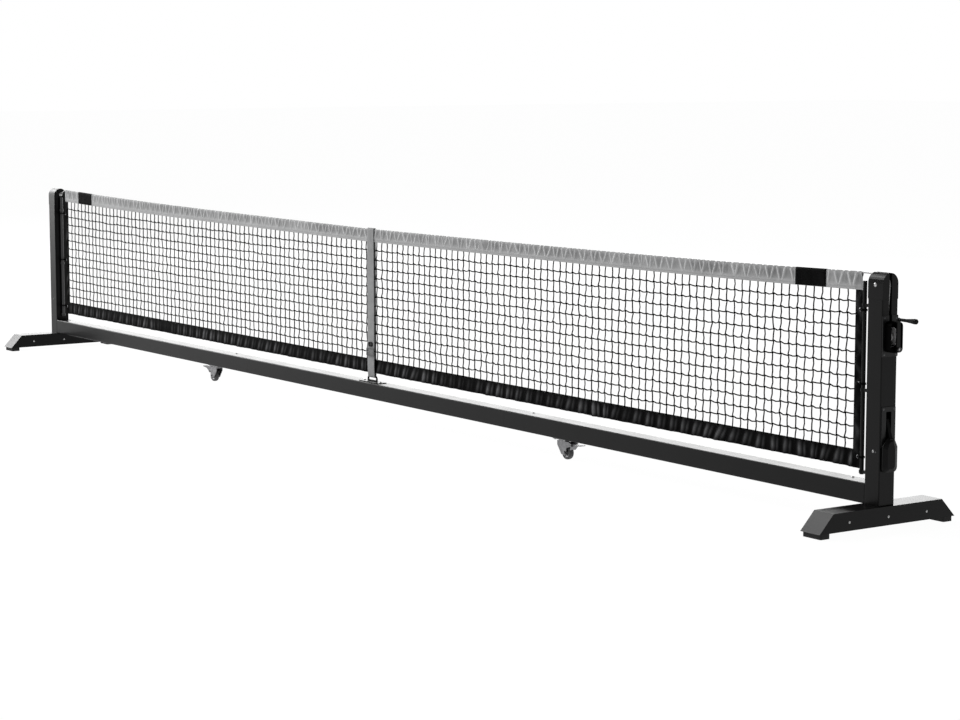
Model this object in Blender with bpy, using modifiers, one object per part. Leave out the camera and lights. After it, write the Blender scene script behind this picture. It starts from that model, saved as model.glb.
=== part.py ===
"""A portable pickleball net: two posts on T feet, a three-part base bar on two
braked casters, a net on a steel cable, a worm winch and a tension lever.

Metres, +Z up. The net runs along X, the players stand at -Y and +Y, and the
winch is on the +X post. Every X below is measured from the middle of the net.
At the end all of it moves by SHIFT_X, so that the origin is on the floor under
the middle of the overall length, from the left foot to the end of the crank.
"""
import math

import bmesh
import bpy
from mathutils import Matrix, Vector

COLLECTION = "portable_net"
GAP = 0.0003          # between pieces that touch

# Posts, caps and base
POST_X = 3.384        # post centre line
POST_W = 0.075        # square tube, outside
POST_WALL = 0.003
TUBE_R = 0.004        # corner radius of the tubes
LEG_TOP = 0.0873
SEAM_Z = 0.825        # where the cap meets the tube
CAP_TOP = 0.9186
CAP_WALL = 0.0035
SLOT_W = 0.013        # the cable's slot in the right post and cap
INNER_X = POST_X - POST_W / 2
OUTER_X = POST_X + POST_W / 2

BAR_W = 0.075
BAR_WALL = 0.0025
BAR_Z = LEG_TOP + GAP + BAR_W / 2
BAR_TOP = BAR_Z + BAR_W / 2
BAR_BOTTOM = BAR_Z - BAR_W / 2
BAR_SEAM = 1.12       # the bar's two joints
SLEEVE_LENGTH = 0.30

LEG_W = 0.100
LEG_HALF_TOP = 0.264
LEG_HALF_BOTTOM = 0.329
PAD_H = 0.0186
PAD_SIZE = (0.094, 0.045)
PAD_INSET = 0.008
LEG_BOTTOM = PAD_H + GAP
LEG_WALL = 0.0035

# Net
NET_HALF = 3.246      # half the mesh's width, between the side bands
SIDE_BAND = (3.2468, 3.2815)
SIDE_BAND_LOW = 0.203
BAND_Z = (0.205, 0.270)
BAND_T = 0.0050
TAPE_HALF = 3.283
TAPE_Y = 0.0045       # half the folded tape's thickness
TAPE_SKIN = 0.0012
MESH_T = 0.0012
CABLE_R = 0.0025

# Rods that the net's ends are laced to
RODS = (("left", -3.3330, 0.868), ("right", 3.2925, 0.882))   # X and upper end
ROD_R = 0.0080
ROD_FOOT = 0.184
CLIP_Z = (("top", 0.795), ("middle", 0.490), ("bottom", 0.194))
CLIP_H = 0.012
CLIP_R = 0.0105

# Pulley in the right cap
PULLEY_Z = 0.876
PULLEY_R = 0.0360
PULLEY_GROOVE = 0.0306
PULLEY_T = 0.0090
PULLEY_BORE = 0.0043
AXLE_R = 0.0040

# Winch
WINCH_Z = (0.622, 0.769)
WINCH_HALF = 0.037
PLATE_T = 0.003
HOUSING_Z = (0.639, 0.747)
HOUSING_HALF = 0.029
HOUSING_BACK = 3.4155  # the housing is let into the post
HOUSING_WALL = 0.0025
HOUSING_R = 0.015
DRUM_X = 3.424
DRUM_Z = 0.694
DRUM_CORE = 0.0125
DRUM_FLANGE = 0.0240
GEAR_R = 0.0325
GEAR_TEETH = 32
CRANK_Z = 0.6517
WORM_R = 0.0086
WORM_ROOT = 0.0062
CRANK_TOP = 0.757
GRIP_END = 3.5550
SHIFT_X = (POST_X + LEG_W / 2 - GRIP_END) / 2
PLATE_X = OUTER_X + GAP
HOUSING_FACE = PLATE_X + PLATE_T + 0.033

# Tension lever
LEVER_Z = (0.298, 0.443)
LEVER_HALF = 0.033
LEVER_SLOT = (0.0125, 0.315, 0.426)
LEVER_PIN = (3.4130, 0.395)
PADDLE_Z = (0.2095, 0.334)
PADDLE_HALF = 0.0355
PADDLE_X = (3.4312, 3.4430)
PADDLE_EDGE = 0.0038  # thickness of its rim
PANEL_SHARE = (0.50, 0.78)   # the raised panel's width and height as shares of the paddle's

# Casters
CASTER_X = 1.503
WHEEL_R = 0.030
WHEEL_Z = 0.0305
WHEEL_OUT = 0.027     # trail of the wheel behind the swivel
FORK_TOP = 0.0780
FORK_CROWN = 0.0725
FORK_HALF = 0.0190
FORK_GAP = 0.0155
PEDAL_PIN = (0.068, 0.0655)

# Centre strap
STRAP_X = 0.004
STRAP_W = 0.052
STRAP_Y = 0.0095
STRAP_T = 0.0016
RING_TOP = 0.1925

AXES = {
    "X": Matrix(((0, 0, 1), (1, 0, 0), (0, 1, 0))),
    "Y": Matrix(((1, 0, 0), (0, 0, -1), (0, 1, 0))),
    "Z": Matrix.Identity(3),
}
COLOURS = {
    "powder": ((0.030, 0.030, 0.032), 0.38, 0.0),
    "black_plastic": ((0.020, 0.020, 0.022), 0.45, 0.0),
    "rubber": ((0.018, 0.018, 0.018), 0.85, 0.0),
    "steel": ((0.55, 0.56, 0.57), 0.30, 1.0),
    "tape": ((0.46, 0.47, 0.48), 0.85, 0.0),
    "band": ((0.028, 0.028, 0.030), 0.60, 0.0),
    "webbing": ((0.42, 0.43, 0.44), 0.90, 0.0),
    "cord": ((0.020, 0.020, 0.022), 0.70, 0.0),
}


def clear_scene():
    for obj in list(bpy.data.objects):
        bpy.data.objects.remove(obj, do_unlink=True)


def collection(name):
    made = bpy.data.collections.new(name)
    bpy.context.scene.collection.children.link(made)
    return made


def material(name, finish):
    colour, roughness, metallic = COLOURS[finish]
    made = bpy.data.materials.new(name)
    made.use_nodes = True
    shader = made.node_tree.nodes["Principled BSDF"]
    shader.inputs["Base Color"].default_value = (*colour, 1.0)
    shader.inputs["Roughness"].default_value = roughness
    shader.inputs["Metallic"].default_value = metallic
    return made


def mesh_object(name, bm, location, where):
    mesh = bpy.data.meshes.new(name)
    bm.to_mesh(mesh)
    bm.free()
    obj = bpy.data.objects.new(name, mesh)
    obj.location = location
    where.objects.link(obj)
    return obj


def part(obj, finish):
    """Give a finished piece its own material and shade its round faces smooth."""
    obj.data.materials.clear()
    obj.data.materials.append(material(obj.name, finish))
    obj.data.shade_smooth()
    obj.data.set_sharp_from_angle(angle=math.radians(35))
    return obj


def ring(radius, count=24, centre=(0.0, 0.0), start=0.0, turn=math.tau):
    """Points on a circle, or on the stretch of it from start through turn."""
    steps = count if turn == math.tau else count - 1
    angles = [start + turn * i / steps for i in range(count)]
    return [(centre[0] + radius * math.cos(a), centre[1] + radius * math.sin(a)) for a in angles]


def rounded(width, height, radius, centre=(0.0, 0.0), count=4):
    """A rectangle with round corners."""
    points = []
    for corner, (sx, sy) in enumerate(((1, 1), (-1, 1), (-1, -1), (1, -1))):
        middle = (centre[0] + sx * (width / 2 - radius), centre[1] + sy * (height / 2 - radius))
        points += ring(radius, count, middle, corner * math.pi / 2, math.pi / 2)
    return points


def box_loop(x0, x1, y0, y1):
    return [(x0, y0), (x1, y0), (x1, y1), (x0, y1)]


def extruded(name, loops, depth, axis, location, where):
    """A flat outline with any holes, extruded evenly both ways along one axis.

    An outline across X is drawn in Y and Z, across Y in X and Z, across Z in X and Y.
    """
    curve = bpy.data.curves.new(name, "CURVE")
    curve.dimensions = "2D"
    curve.fill_mode = "BOTH"
    curve.extrude = depth / 2
    for loop in loops:
        spline = curve.splines.new("POLY")
        spline.points.add(len(loop) - 1)
        for point, (a, b) in zip(spline.points, loop):
            point.co = (a, b, 0.0, 1.0)
        spline.use_cyclic_u = True
    drawn = bpy.data.objects.new(name + "_outline", curve)
    where.objects.link(drawn)
    bpy.context.view_layer.update()
    evaluated = drawn.evaluated_get(bpy.context.evaluated_depsgraph_get())
    mesh = bpy.data.meshes.new_from_object(evaluated)
    bpy.data.objects.remove(drawn)
    bm = bmesh.new()
    bm.from_mesh(mesh)
    bmesh.ops.remove_doubles(bm, verts=bm.verts, dist=0.00002)
    bmesh.ops.rotate(bm, verts=bm.verts, cent=(0, 0, 0), matrix=AXES[axis])
    return mesh_object(name, bm, location, where)


def block(name, low, high, where):
    """A box between two corners, with its origin at its centre."""
    low, high = Vector(low), Vector(high)
    bm = bmesh.new()
    bmesh.ops.create_cube(bm, size=1.0)
    bmesh.ops.scale(bm, vec=high - low, verts=bm.verts)
    return mesh_object(name, bm, (low + high) / 2, where)


def cylinder(name, radius, length, axis, location, where, sides=24):
    """A cylinder centred on its location."""
    bm = bmesh.new()
    bmesh.ops.create_cone(
        bm,
        cap_ends=True,
        segments=sides,
        radius1=radius,
        radius2=radius,
        depth=length,
    )
    bmesh.ops.rotate(bm, verts=bm.verts, cent=(0, 0, 0), matrix=AXES[axis])
    return mesh_object(name, bm, location, where)


def turned(name, profile, axis, location, where, steps=24):
    """A profile of (radius, height) turned round the axis, drawn down its outer side."""
    bm = bmesh.new()
    verts = [bm.verts.new((radius, 0.0, height)) for radius, height in profile]
    for a, b in zip(verts, verts[1:]):
        bm.edges.new((a, b))
    if profile[0][0] > 0:
        bm.edges.new((verts[-1], verts[0]))
    obj = mesh_object(name, bm, location, where)
    obj.rotation_euler = AXES[axis].to_euler()
    screw = obj.modifiers.new("Turn", "SCREW")
    screw.steps = steps
    screw.render_steps = steps
    screw.use_merge_vertices = True
    screw.merge_threshold = 0.00002
    return baked(obj)


def baked(obj):
    """Replace an object's mesh with what its modifiers make, turned as it stands."""
    bpy.context.view_layer.update()
    evaluated = obj.evaluated_get(bpy.context.evaluated_depsgraph_get())
    mesh = bpy.data.meshes.new_from_object(evaluated)
    mesh.transform(obj.rotation_euler.to_matrix().to_4x4())
    obj.modifiers.clear()
    obj.data = mesh
    obj.rotation_euler = (0, 0, 0)
    return obj


def boolean(obj, cutter, operation):
    change = obj.modifiers.new(operation.title(), "BOOLEAN")
    change.operation = operation
    change.solver = "EXACT"
    change.object = cutter
    baked(obj)
    bpy.data.objects.remove(cutter)
    return obj


def cut(obj, cutter):
    return boolean(obj, cutter, "DIFFERENCE")


def join(obj, other):
    return boolean(obj, other, "UNION")


def surface(name, columns, rows, place, thickness, where):
    """A grid moved by place(u, v) and thickened about itself, for cloth and webbing."""
    bm = bmesh.new()
    bmesh.ops.create_grid(bm, x_segments=columns, y_segments=rows, size=0.5)
    for vert in bm.verts:
        vert.co = Vector(place(vert.co.x + 0.5, vert.co.y + 0.5))
    obj = mesh_object(name, bm, (0, 0, 0), where)
    skin = obj.modifiers.new("Skin", "SOLIDIFY")
    skin.thickness = thickness
    skin.offset = 0.0
    return baked(obj)


def tape_top(x):
    """The tape's top edge: 0.914 m at the posts, drawn down by the centre strap."""
    return 0.8778 + 0.0055 * abs(x) + 0.00016 * x**4


def tape_bottom(x):
    return tape_top(x) - 0.060 - 0.0065 * (x / TAPE_HALF) ** 2


def make_posts(parts, tools):
    for side, name in ((-1, "left"), (1, "right")):
        height = SEAM_Z - GAP - (LEG_TOP + GAP)
        middle = (SEAM_Z + LEG_TOP) / 2
        inner = POST_W - 2 * POST_WALL
        loops = [rounded(POST_W, POST_W, TUBE_R), rounded(inner, inner, 0.001, count=2)]
        post = extruded("post_" + name, loops, height, "Z", (side * POST_X, 0, middle), parts)
        if side > 0:
            reach = (OUTER_X - 0.006, OUTER_X + 0.006)
            windows = (
                (SLOT_W / 2, DRUM_Z, SEAM_Z + 0.01),
                (HOUSING_HALF + GAP, HOUSING_Z[0] - GAP, HOUSING_Z[1] + GAP),
                LEVER_SLOT,
            )
            for half, low, high in windows:
                window = block("window", (reach[0], -half, low), (reach[1], half, high), tools)
                cut(post, window)
        part(post, "powder")


def arch(width, top, bottom, count=17):
    """A post's outline seen along X: straight sides under a half-round top."""
    radius = width / 2
    return ring(radius, count, (0.0, top - radius), 0.0, math.pi) + [(-radius, bottom), (radius, bottom)]


def make_cap(side, name, parts, tools):
    x = side * POST_X
    cap = extruded("post_cap_" + name, [arch(POST_W, CAP_TOP, SEAM_Z)], POST_W, "X", (x, 0, 0), parts)
    inner = POST_W - 2 * CAP_WALL
    hollow = arch(inner, CAP_TOP - CAP_WALL, SEAM_Z - 0.01)
    cut(cap, extruded("hollow", [hollow], inner, "X", (x, 0, 0), tools))
    spigot = POST_W - 2 * POST_WALL - 2 * GAP
    loops = [rounded(spigot, spigot, 0.002), rounded(inner - 0.006, inner - 0.006, 0.001, count=2)]
    join(cap, extruded("spigot", loops, 0.035, "Z", (x, 0, SEAM_Z - 0.0075), tools))
    if side > 0:
        half = SLOT_W / 2
        cut(cap, block("slot", (INNER_X - 0.01, -half, 0.850), (OUTER_X + 0.01, half, 0.93), tools))
        cut(cap, block("slot", (POST_X, -half, 0.79), (OUTER_X + 0.01, half, 0.87), tools))
        cut(cap, cylinder("bore", AXLE_R + GAP, 0.1, "Y", (POST_X, 0, PULLEY_Z), tools))
    part(cap, "powder")


def make_pulley(parts):
    half = PULLEY_T / 2
    profile = (
        (PULLEY_R, half),
        (PULLEY_R, half - 0.0006),
        (PULLEY_GROOVE, 0.0018),
        (PULLEY_GROOVE, -0.0018),
        (PULLEY_R, -half + 0.0006),
        (PULLEY_R, -half),
        (PULLEY_BORE, -half),
        (PULLEY_BORE, half),
    )
    part(turned("cap_pulley", profile, "Y", (POST_X, 0, PULLEY_Z), parts, 40), "steel")
    face = POST_W / 2
    profile = (
        (0.0, face + 0.0028),
        (0.0040, face + 0.0026),
        (0.0072, face + 0.0012),
        (0.0075, face + GAP),
        (AXLE_R, face + GAP),
        (AXLE_R, -face - 0.001),
        (0.0, -face - 0.001),
    )
    part(turned("pulley_axle", profile, "Y", (POST_X, 0, PULLEY_Z), parts), "steel")


def make_bar(parts):
    inner = BAR_W - 2 * BAR_WALL
    loops = [rounded(BAR_W, BAR_W, TUBE_R), rounded(inner, inner, 0.001, count=2)]
    end = INNER_X - GAP
    spans = (
        ("left", -end, -BAR_SEAM - GAP),
        ("middle", -BAR_SEAM + GAP, BAR_SEAM - GAP),
        ("right", BAR_SEAM + GAP, end),
    )
    for name, low, high in spans:
        place = ((low + high) / 2, 0, BAR_Z)
        part(extruded("base_bar_" + name, loops, high - low, "X", place, parts), "powder")
    outside = inner - 2 * GAP
    hollow = outside - 0.005
    loops = [rounded(outside, outside, 0.002, count=2), rounded(hollow, hollow, 0.001, count=2)]
    for side, name in ((-1, "left"), (1, "right")):
        place = (side * BAR_SEAM, 0, BAR_Z)
        part(extruded("joiner_sleeve_" + name, loops, SLEEVE_LENGTH, "X", place, parts), "steel")


def make_legs(parts, tools):
    outside = (
        (-LEG_HALF_BOTTOM, LEG_BOTTOM),
        (LEG_HALF_BOTTOM, LEG_BOTTOM),
        (LEG_HALF_TOP, LEG_TOP),
        (-LEG_HALF_TOP, LEG_TOP),
    )
    slope = LEG_WALL * 2.4
    inside = (
        (-LEG_HALF_BOTTOM + slope, LEG_BOTTOM + LEG_WALL),
        (LEG_HALF_BOTTOM - slope, LEG_BOTTOM + LEG_WALL),
        (LEG_HALF_TOP - LEG_WALL / 2, LEG_TOP - LEG_WALL),
        (-LEG_HALF_TOP + LEG_WALL / 2, LEG_TOP - LEG_WALL),
    )
    for side, name in ((-1, "left"), (1, "right")):
        place = (side * POST_X, 0, 0)
        leg = extruded("base_leg_" + name, [outside], LEG_W, "X", place, parts)
        cut(leg, extruded("hollow", [inside], LEG_W - 2 * LEG_WALL, "X", place, tools))
        low = (side * POST_X - 0.03, -0.20, 0.0)
        high = (side * POST_X + 0.03, 0.20, LEG_BOTTOM + LEG_WALL + 0.002)
        cut(leg, block("underside", low, high, tools))
        part(leg, "powder")
        for end, end_name in ((-1, "front"), (1, "rear")):
            y = end * (LEG_HALF_BOTTOM - PAD_INSET - PAD_SIZE[1] / 2)
            pad_name = "foot_pad_" + name + "_" + end_name
            loops = [rounded(PAD_SIZE[0], PAD_SIZE[1], 0.006)]
            place_pad = (side * POST_X, y, PAD_H / 2)
            part(extruded(pad_name, loops, PAD_H, "Z", place_pad, parts), "rubber")


def make_rods(parts):
    arm = 0.006
    opening = math.asin(arm / CLIP_R)
    for name, x, top in RODS:
        side = math.copysign(1, x)
        place = (x, 0, (ROD_FOOT + top) / 2)
        part(cylinder("net_rod_" + name, ROD_R, top - ROD_FOOT, "Z", place, parts, 20), "powder")
        reach = INNER_X - GAP - abs(x)
        outline = ring(CLIP_R, 20, start=opening, turn=math.tau - 2 * opening)
        outline += [(reach, -arm), (reach, arm)]
        outline = [(side * along, y) for along, y in outline]
        hole = ring(ROD_R + GAP + 0.0002, 20)
        for level, z in CLIP_Z:
            clip_name = "rod_clip_" + name + "_" + level
            part(extruded(clip_name, [outline, hole], CLIP_H, "Z", (x, 0, z), parts), "powder")


def cable_points():
    """From the left cap's anchor through the tape, over the pulley and down to the drum."""
    inside = TAPE_SKIN + 0.0005 + CABLE_R
    points = [(-3.3345, 0.8870), (-3.3150, 0.8985)]
    spread = [-TAPE_HALF + 2 * TAPE_HALF * i / 30 for i in range(31)]
    points += [(x, tape_top(x) - inside) for x in spread]
    radius = PULLEY_GROOVE + CABLE_R + GAP + 0.0002
    turn = [math.radians(angle) for angle in range(92, -5, -12)]
    points += [(POST_X + radius * math.cos(a), PULLEY_Z + radius * math.sin(a)) for a in turn]
    points.append((3.4130, 0.800))
    points.append((DRUM_X - DRUM_CORE - CABLE_R - GAP, DRUM_Z + 0.006))
    return points


def make_cable(parts):
    curve = bpy.data.curves.new("steel_cable", "CURVE")
    curve.dimensions = "3D"
    curve.bevel_depth = CABLE_R
    curve.bevel_resolution = 2
    curve.use_fill_caps = True
    route = cable_points()
    spline = curve.splines.new("POLY")
    spline.points.add(len(route) - 1)
    for point, (x, z) in zip(spline.points, route):
        point.co = (x, 0.0, z, 1.0)
    cable = bpy.data.objects.new("steel_cable", curve)
    cable.data.materials.append(material("steel_cable", "steel"))
    parts.objects.link(cable)


def make_anchor(parts):
    """The hook bolt that holds the cable's fixed end on the left cap's inner face."""
    root = -INNER_X + GAP
    shank = 0.0045
    profile = (
        (0.0, 0.0095),
        (0.0060, 0.0090),
        (0.0090, 0.0070),
        (0.0090, 0.0055),
        (shank, 0.0040),
        (shank, 0.0018),
        (0.0100, 0.0014),
        (0.0100, 0.0),
        (0.0, 0.0),
    )
    part(turned("cable_anchor", profile, "X", (root, 0, 0.8846), parts), "steel")


def make_net(parts):
    def tape(u, v):
        x = TAPE_HALF * (2 * u - 1)
        wrap = v * 9 - 1
        if 0 <= wrap <= 7:
            angle = math.pi * wrap / 7
            return x, -TAPE_Y * math.cos(angle), tape_top(x) - TAPE_Y * (1 - math.sin(angle))
        return x, math.copysign(TAPE_Y, wrap), tape_bottom(x)

    part(surface("net_headband", 31, 10, tape, TAPE_SKIN, parts), "tape")

    def mesh(u, v):
        x = NET_HALF * (2 * u - 1)
        low = BAND_Z[1] + GAP
        high = tape_bottom(x) + 0.012
        return x, 0.0, low + (high - low) * v

    part(surface("net_mesh", 31, 2, mesh, MESH_T, parts), "cord")
    half = BAND_T / 2
    low = (-NET_HALF, -half, BAND_Z[0])
    part(block("net_bottom_band", low, (NET_HALF, half, BAND_Z[1]), parts), "band")
    for side, name in ((-1, "left"), (1, "right")):
        edges = sorted((side * SIDE_BAND[0], side * SIDE_BAND[1]))
        low = (edges[0], -half, SIDE_BAND_LOW)
        high = (edges[1], half, tape_bottom(SIDE_BAND[0]) - GAP)
        part(block("net_side_band_" + name, low, high, parts), "band")


def make_strap(parts):
    bottom = RING_TOP - 0.008
    straight = tape_top(0) + 0.0008 - bottom

    def webbing(u, v):
        x = STRAP_X + STRAP_W * (u - 0.5)
        turn = v * 14
        if turn <= 6:
            angle = math.pi * turn / 6
            height = bottom + straight - 0.006
            return x, STRAP_Y * math.cos(angle), height + STRAP_Y * math.sin(angle)
        if turn <= 13:
            angle = math.pi * (turn - 7) / 6
            return x, -STRAP_Y * math.cos(angle), bottom - STRAP_Y * math.sin(angle)
        return x, STRAP_Y, bottom + straight - 0.006

    strap = surface_loop("centre_strap", webbing, parts)
    part(strap, "webbing")
    front = -STRAP_Y - STRAP_T / 2 - GAP
    frames = (
        ("strap_slider", 0.340, 0.060, 0.016, 0.0035, "black_plastic"),
        ("strap_buckle", 0.303, 0.064, 0.036, 0.0040, "steel"),
    )
    for name, z, width, height, thick, finish in frames:
        loops = [rounded(width, height, 0.004), rounded(width - 0.010, height - 0.009, 0.002, count=3)]
        frame = extruded(name, loops, thick, "Y", (STRAP_X, front - thick / 2, z), parts)
        part(frame, finish)
    plate_top = BAR_TOP + GAP + 0.003
    thick = 0.0065
    outside = arch_outline(0.080, plate_top + GAP, RING_TOP)
    inside = arch_outline(0.080 - 2 * thick, plate_top + GAP + thick, RING_TOP - thick)
    place = (STRAP_X, 0, 0)
    part(extruded("strap_ring", [outside, inside], thick, "Y", place, parts), "black_plastic")
    loops = [rounded(0.170, 0.050, 0.006)]
    place = (STRAP_X, 0, BAR_TOP + GAP + 0.0015)
    part(extruded("strap_anchor_plate", loops, 0.003, "Z", place, parts), "powder")


def arch_outline(width, low, high):
    """A flat-bottomed ring with two round top corners, drawn in X and Z."""
    radius = (high - low) * 0.6
    corners = ring(radius, 6, (width / 2 - radius, high - radius), 0.0, math.pi / 2)
    corners += ring(radius, 6, (radius - width / 2, high - radius), math.pi / 2, math.pi / 2)
    return corners + [(-width / 2, low), (width / 2, low)]


def surface_loop(name, place, where):
    """A ribbon that closes on itself: its last row is its first."""
    obj = surface(name, 2, 15, place, 0.0, where)
    bm = bmesh.new()
    bm.from_mesh(obj.data)
    bmesh.ops.remove_doubles(bm, verts=bm.verts, dist=0.00005)
    bmesh.ops.recalc_face_normals(bm, faces=bm.faces)
    bm.to_mesh(obj.data)
    bm.free()
    skin = obj.modifiers.new("Skin", "SOLIDIFY")
    skin.thickness = STRAP_T
    skin.offset = 0.0
    return baked(obj)


def make_winch(parts, tools):
    middle = (0, sum(HOUSING_Z) / 2)
    room = 2 * GAP
    height = HOUSING_Z[1] - HOUSING_Z[0] + room
    loops = [
        rounded(2 * WINCH_HALF, WINCH_Z[1] - WINCH_Z[0], 0.003, (0, sum(WINCH_Z) / 2)),
        rounded(2 * HOUSING_HALF + room, height, HOUSING_R, middle, 6),
    ]
    plate = extruded("winch_plate", loops, PLATE_T, "X", (PLATE_X + PLATE_T / 2, 0, 0), parts)
    half = SLOT_W / 2
    notch = block("notch", (PLATE_X - 0.01, -half, 0.70), (PLATE_X + 0.01, half, 0.78), tools)
    part(cut(plate, notch), "powder")
    make_housing(parts, tools)
    make_drum(parts)
    make_crank(parts)


def make_housing(parts, tools):
    height = HOUSING_Z[1] - HOUSING_Z[0]
    middle = (0, sum(HOUSING_Z) / 2)
    inner = 2 * HOUSING_WALL
    loops = [
        rounded(2 * HOUSING_HALF, height, HOUSING_R, middle, 6),
        rounded(2 * HOUSING_HALF - inner, height - inner, HOUSING_R - HOUSING_WALL, middle, 6),
    ]
    face = HOUSING_FACE
    place = ((HOUSING_BACK + face) / 2, 0, 0)
    housing = extruded("winch_housing", loops, face - HOUSING_BACK, "X", place, parts)
    loops = [rounded(0.056, 0.0220, 0.0105, (0, CRANK_Z - 0.0005), 5)]
    join(housing, extruded("bridge", loops, 0.003, "X", (face - 0.0015, 0, 0), tools))
    cut(housing, cylinder("bore", 0.0056, 0.02, "X", (face, 0, CRANK_Z), tools))
    cut(housing, cylinder("bore", 0.0033, 0.1, "Y", (DRUM_X, 0, DRUM_Z), tools))
    part(housing, "powder")


def gear_outline():
    """A toothed rim: each tooth is a short flat with sloping flanks."""
    points = []
    pitch = math.tau / GEAR_TEETH
    for tooth in range(GEAR_TEETH):
        for share, radius in ((-0.36, -0.0030), (-0.16, 0.0), (0.16, 0.0), (0.36, -0.0030)):
            angle = (tooth + share) * pitch
            points.append(((GEAR_R + radius) * math.cos(angle), (GEAR_R + radius) * math.sin(angle)))
    return points


def make_drum(parts):
    bore = 0.0033
    gear_y = 0.0110
    place = (DRUM_X, gear_y, DRUM_Z)
    part(extruded("winch_gear", [gear_outline(), ring(bore)], 0.007, "Y", place, parts), "steel")
    low, high = -(gear_y - 0.0035 - GAP), 0.0155
    profile = (
        (DRUM_FLANGE, high),
        (DRUM_FLANGE, high - 0.0025),
        (DRUM_CORE, high - 0.0045),
        (DRUM_CORE, low + 0.0030),
        (DRUM_FLANGE, low + 0.0020),
        (DRUM_FLANGE, low),
        (bore, low),
        (bore, high),
    )
    part(turned("winch_drum", profile, "Y", (DRUM_X, 0, DRUM_Z), parts, 32), "steel")
    axle = cylinder("drum_axle", 0.0030, 0.056, "Y", (DRUM_X, 0, DRUM_Z), parts, 16)
    part(axle, "steel")


def make_crank(parts):
    """The worm and its shaft, the crank arm, its nut and the turning grip, all along X."""
    root = 3.4060
    face = HOUSING_FACE
    profile = [(0.0, face + 0.0135 - root), (0.0050, face + 0.0130 - root), (0.0050, 3.4435 - root)]
    threads = 5
    pitch = 0.0066
    for turn in range(threads):
        high = 3.4435 - root - turn * pitch
        profile += [(WORM_ROOT, high), (WORM_R, high - 0.0022)]
        profile += [(WORM_R, high - 0.0040), (WORM_ROOT, high - 0.0062)]
    profile += [(0.0050, 3.4435 - root - threads * pitch), (0.0050, 0.0), (0.0, 0.0)]
    part(turned("worm_shaft", profile, "X", (root, 0, CRANK_Z), parts), "steel")
    near = face + 0.0035
    length = CRANK_TOP - CRANK_Z
    loops = [
        ring(0.0095, 10, (0, 0), math.pi, math.pi) + ring(0.0075, 10, (0, length), 0.0, math.pi),
        ring(0.0050 + GAP, 20),
        ring(0.0030 + GAP, 16, (0, length)),
    ]
    part(extruded("crank_arm", loops, 0.006, "X", (near + 0.003, 0, CRANK_Z), parts), "powder")
    nut = near + 0.006 + GAP
    hexagon = ring(0.0085, 6)
    loops = [hexagon, ring(0.0050 + GAP, 20)]
    part(extruded("crank_nut", loops, 0.0065, "X", (nut + 0.00325, 0, CRANK_Z), parts), "steel")
    start = near + 0.006 + 0.0006
    reach = GRIP_END - start
    profile = (
        (0.0, reach),
        (0.0070, reach),
        (0.0095, reach - 0.0030),
        (0.0098, reach - 0.0120),
        (0.0082, reach - 0.0280),
        (0.0060, reach - 0.0520),
        (0.0055, 0.0020),
        (0.0050, 0.0),
        (0.0, 0.0),
    )
    part(turned("crank_grip", profile, "X", (start, 0, CRANK_TOP), parts), "black_plastic")
    rivet = cylinder("grip_rivet", 0.0030, 0.0058, "X", (near + 0.003, 0, CRANK_TOP), parts, 16)
    part(rivet, "steel")


def make_lever(parts, tools):
    half, low, high = LEVER_SLOT
    middle = (0, sum(LEVER_Z) / 2)
    loops = [rounded(2 * LEVER_HALF, LEVER_Z[1] - LEVER_Z[0], 0.003, middle), box_loop(-half, half, low, high)]
    place = (PLATE_X + PLATE_T / 2, 0, 0)
    part(extruded("lever_plate", loops, PLATE_T, "X", place, parts), "powder")
    x, z = LEVER_PIN
    pin = cylinder("lever_pin", 0.0030, 0.060, "Y", (x, 0, z), parts, 16)
    part(pin, "steel")
    arm = ring(0.0065, 9, (0, 0), 0.35, math.pi)
    arm += [(0.0190, 0.329 - z), (0.0240, 0.322 - z), (0.0275, 0.329 - z), (0.0190, 0.352 - z)]
    lever = extruded("tension_lever", [arm], 0.014, "Y", (x, 0, z), parts)
    paddle = paddle_solid(tools)
    join(lever, paddle)
    cut(lever, cylinder("bore", 0.0030 + GAP, 0.03, "Y", (x, 0, z), tools, 16))
    part(lever, "black_plastic")


def paddle_solid(tools):
    """A hand paddle whose sides slope up to a narrow raised panel with a pointed head."""
    low, high = PADDLE_Z
    radius = 0.018
    outline = ring(radius, 5, (PADDLE_HALF - radius, low + radius), 1.5 * math.pi, math.pi / 2)
    outline += [(PADDLE_HALF, high - 0.034), (0.022, high - 0.008), (0.010, high)]
    outline += [(-y, z) for y, z in reversed(outline)]
    back, face = PADDLE_X
    place = ((back + face) / 2, 0, 0)
    paddle = extruded("paddle", [outline], face - back, "X", place, tools)
    rim = back + PADDLE_EDGE - place[0]
    middle = (low + high) / 2 - 0.004
    bm = bmesh.new()
    bm.from_mesh(paddle.data)
    everything = bm.verts[:] + bm.edges[:] + bm.faces[:]
    bmesh.ops.bisect_plane(bm, geom=everything, plane_co=(rim, 0, 0), plane_no=(1, 0, 0))
    for vert in bm.verts:
        if vert.co.x > rim + GAP:
            vert.co.y *= PANEL_SHARE[0]
            vert.co.z = middle + (vert.co.z - middle) * PANEL_SHARE[1]
    bmesh.ops.triangulate(bm, faces=bm.faces[:])
    bm.to_mesh(paddle.data)
    bm.free()
    return paddle


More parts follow.
